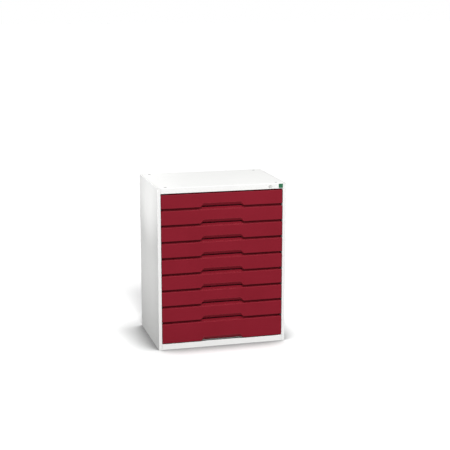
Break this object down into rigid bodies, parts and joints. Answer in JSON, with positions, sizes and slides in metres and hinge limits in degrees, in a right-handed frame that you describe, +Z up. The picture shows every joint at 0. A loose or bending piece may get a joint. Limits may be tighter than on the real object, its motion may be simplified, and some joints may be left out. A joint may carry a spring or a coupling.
{
  "type": "tool chest",
  "caption": "Upright sheet-steel drawer cabinet with full-width drawers on telescopic slides, a finger scoop under each front and one central lock.",
  "frame": {"origin": "centre of the base, on the floor", "axes": "+X to the right as seen from the front, -Y out of the front where the drawers open, +Z up"},
  "size_m": [0.8, 0.55, 1],
  "materials": {
    "housing_paint": "fine-textured powder coat, light grey, satin",
    "drawer_paint": "fine-textured powder coat, crimson, satin",
    "tray_paint": "smooth powder coat, light grey, satin",
    "zinc_plate": "bright zinc-plated steel",
    "lock_metal": "nickel-plated die casting, satin polished",
    "badge_green": "smooth green enamel on thin sheet, no print"
  },
  "bodies": {
    "cabinet": {"side_panel_left": "housing_paint", "side_panel_right": "housing_paint", "top_panel": "housing_paint", "base_pan": "housing_paint", "back_panel": "housing_paint", "runner_rack_left": "zinc_plate", "runner_rack_right": "zinc_plate", "badge_plate": "badge_green", "lock_housing": "lock_metal", "lock_nut": "zinc_plate", "bar_guide_upper": "zinc_plate", "bar_guide_lower": "zinc_plate"},
    "lock_core": {"lock_plug": "lock_metal", "lock_cam": "zinc_plate", "cam_screw": "zinc_plate"},
    "bar": {"lock_bar": "zinc_plate"},
    "drawer_1": {"drawer_1_front": "drawer_paint", "drawer_1_tray": "tray_paint"},
    "member_1_left": {"drawer_1_slide_left": "zinc_plate"},
    "member_1_right": {"drawer_1_slide_right": "zinc_plate"},
    "drawer_2": {"drawer_2_front": "drawer_paint", "drawer_2_tray": "tray_paint"},
    "member_2_left": {"drawer_2_slide_left": "zinc_plate"},
    "member_2_right": {"drawer_2_slide_right": "zinc_plate"},
    "drawer_3": {"drawer_3_front": "drawer_paint", "drawer_3_tray": "tray_paint"},
    "member_3_left": {"drawer_3_slide_left": "zinc_plate"},
    "member_3_right": {"drawer_3_slide_right": "zinc_plate"},
    "drawer_4": {"drawer_4_front": "drawer_paint", "drawer_4_tray": "tray_paint"},
    "member_4_left": {"drawer_4_slide_left": "zinc_plate"},
    "member_4_right": {"drawer_4_slide_right": "zinc_plate"},
    "drawer_5": {"drawer_5_front": "drawer_paint", "drawer_5_tray": "tray_paint"},
    "member_5_left": {"drawer_5_slide_left": "zinc_plate"},
    "member_5_right": {"drawer_5_slide_right": "zinc_plate"},
    "drawer_6": {"drawer_6_front": "drawer_paint", "drawer_6_tray": "tray_paint"},
    "member_6_left": {"drawer_6_slide_left": "zinc_plate"},
    "member_6_right": {"drawer_6_slide_right": "zinc_plate"},
    "drawer_7": {"drawer_7_front": "drawer_paint", "drawer_7_tray": "tray_paint"},
    "member_7_left": {"drawer_7_slide_left": "zinc_plate"},
    "member_7_right": {"drawer_7_slide_right": "zinc_plate"},
    "drawer_8": {"drawer_8_front": "drawer_paint", "drawer_8_tray": "tray_paint"},
    "member_8_left": {"drawer_8_slide_left": "zinc_plate"},
    "member_8_right": {"drawer_8_slide_right": "zinc_plate"},
    "drawer_9": {"drawer_9_front": "drawer_paint", "drawer_9_tray": "tray_paint"},
    "member_9_left": {"drawer_9_slide_left": "zinc_plate"},
    "member_9_right": {"drawer_9_slide_right": "zinc_plate"}
  },
  "joints": [
    {"name": "lock_turn", "type": "hinge", "parent": "cabinet", "child": "lock_core", "pos_m": [0.299, -0.2735, 0.983], "axis": [0, -1, 0], "range_deg": [0, 90]},
    {"name": "bar_lift", "type": "slide", "parent": "cabinet", "child": "bar", "axis": [0, 0, 1], "range_m": [0, 0.014]},
    {"name": "drawer_1_slide", "type": "slide", "parent": "cabinet", "child": "drawer_1", "axis": [0, -1, 0], "range_m": [0, 0.47]},
    {"name": "member_1_left_slide", "type": "slide", "parent": "cabinet", "child": "member_1_left", "axis": [0, -1, 0], "range_m": [0, 0.236]},
    {"name": "member_1_right_slide", "type": "slide", "parent": "cabinet", "child": "member_1_right", "axis": [0, -1, 0], "range_m": [0, 0.236]},
    {"name": "drawer_2_slide", "type": "slide", "parent": "cabinet", "child": "drawer_2", "axis": [0, -1, 0], "range_m": [0, 0.47]},
    {"name": "member_2_left_slide", "type": "slide", "parent": "cabinet", "child": "member_2_left", "axis": [0, -1, 0], "range_m": [0, 0.236]},
    {"name": "member_2_right_slide", "type": "slide", "parent": "cabinet", "child": "member_2_right", "axis": [0, -1, 0], "range_m": [0, 0.236]},
    {"name": "drawer_3_slide", "type": "slide", "parent": "cabinet", "child": "drawer_3", "axis": [0, -1, 0], "range_m": [0, 0.47]},
    {"name": "member_3_left_slide", "type": "slide", "parent": "cabinet", "child": "member_3_left", "axis": [0, -1, 0], "range_m": [0, 0.236]},
    {"name": "member_3_right_slide", "type": "slide", "parent": "cabinet", "child": "member_3_right", "axis": [0, -1, 0], "range_m": [0, 0.236]},
    {"name": "drawer_4_slide", "type": "slide", "parent": "cabinet", "child": "drawer_4", "axis": [0, -1, 0], "range_m": [0, 0.47]},
    {"name": "member_4_left_slide", "type": "slide", "parent": "cabinet", "child": "member_4_left", "axis": [0, -1, 0], "range_m": [0, 0.236]},
    {"name": "member_4_right_slide", "type": "slide", "parent": "cabinet", "child": "member_4_right", "axis": [0, -1, 0], "range_m": [0, 0.236]},
    {"name": "drawer_5_slide", "type": "slide", "parent": "cabinet", "child": "drawer_5", "axis": [0, -1, 0], "range_m": [0, 0.47]},
    {"name": "member_5_left_slide", "type": "slide", "parent": "cabinet", "child": "member_5_left", "axis": [0, -1, 0], "range_m": [0, 0.236]},
    {"name": "member_5_right_slide", "type": "slide", "parent": "cabinet", "child": "member_5_right", "axis": [0, -1, 0], "range_m": [0, 0.236]},
    {"name": "drawer_6_slide", "type": "slide", "parent": "cabinet", "child": "drawer_6", "axis": [0, -1, 0], "range_m": [0, 0.47]},
    {"name": "member_6_left_slide", "type": "slide", "parent": "cabinet", "child": "member_6_left", "axis": [0, -1, 0], "range_m": [0, 0.236]},
    {"name": "member_6_right_slide", "type": "slide", "parent": "cabinet", "child": "member_6_right", "axis": [0, -1, 0], "range_m": [0, 0.236]},
    {"name": "drawer_7_slide", "type": "slide", "parent": "cabinet", "child": "drawer_7", "axis": [0, -1, 0], "range_m": [0, 0.47]},
    {"name": "member_7_left_slide", "type": "slide", "parent": "cabinet", "child": "member_7_left", "axis": [0, -1, 0], "range_m": [0, 0.236]},
    {"name": "member_7_right_slide", "type": "slide", "parent": "cabinet", "child": "member_7_right", "axis": [0, -1, 0], "range_m": [0, 0.236]},
    {"name": "drawer_8_slide", "type": "slide", "parent": "cabinet", "child": "drawer_8", "axis": [0, -1, 0], "range_m": [0, 0.47]},
    {"name": "member_8_left_slide", "type": "slide", "parent": "cabinet", "child": "member_8_left", "axis": [0, -1, 0], "range_m": [0, 0.236]},
    {"name": "member_8_right_slide", "type": "slide", "parent": "cabinet", "child": "member_8_right", "axis": [0, -1, 0], "range_m": [0, 0.236]},
    {"name": "drawer_9_slide", "type": "slide", "parent": "cabinet", "child": "drawer_9", "axis": [0, -1, 0], "range_m": [0, 0.47]},
    {"name": "member_9_left_slide", "type": "slide", "parent": "cabinet", "child": "member_9_left", "axis": [0, -1, 0], "range_m": [0, 0.236]},
    {"name": "member_9_right_slide", "type": "slide", "parent": "cabinet", "child": "member_9_right", "axis": [0, -1, 0], "range_m": [0, 0.236]}
  ],
  "couplings": [
    {"joint": "lock_turn", "follows": "bar_lift", "rad_per_m": 112.2},
    {"joint": "member_1_left_slide", "follows": "drawer_1_slide", "ratio": 0.5},
    {"joint": "member_1_right_slide", "follows": "drawer_1_slide", "ratio": 0.5},
    {"joint": "member_2_left_slide", "follows": "drawer_2_slide", "ratio": 0.5},
    {"joint": "member_2_right_slide", "follows": "drawer_2_slide", "ratio": 0.5},
    {"joint": "member_3_left_slide", "follows": "drawer_3_slide", "ratio": 0.5},
    {"joint": "member_3_right_slide", "follows": "drawer_3_slide", "ratio": 0.5},
    {"joint": "member_4_left_slide", "follows": "drawer_4_slide", "ratio": 0.5},
    {"joint": "member_4_right_slide", "follows": "drawer_4_slide", "ratio": 0.5},
    {"joint": "member_5_left_slide", "follows": "drawer_5_slide", "ratio": 0.5},
    {"joint": "member_5_right_slide", "follows": "drawer_5_slide", "ratio": 0.5},
    {"joint": "member_6_left_slide", "follows": "drawer_6_slide", "ratio": 0.5},
    {"joint": "member_6_right_slide", "follows": "drawer_6_slide", "ratio": 0.5},
    {"joint": "member_7_left_slide", "follows": "drawer_7_slide", "ratio": 0.5},
    {"joint": "member_7_right_slide", "follows": "drawer_7_slide", "ratio": 0.5},
    {"joint": "member_8_left_slide", "follows": "drawer_8_slide", "ratio": 0.5},
    {"joint": "member_8_right_slide", "follows": "drawer_8_slide", "ratio": 0.5},
    {"joint": "member_9_left_slide", "follows": "drawer_9_slide", "ratio": 0.5},
    {"joint": "member_9_right_slide", "follows": "drawer_9_slide", "ratio": 0.5}
  ]
}
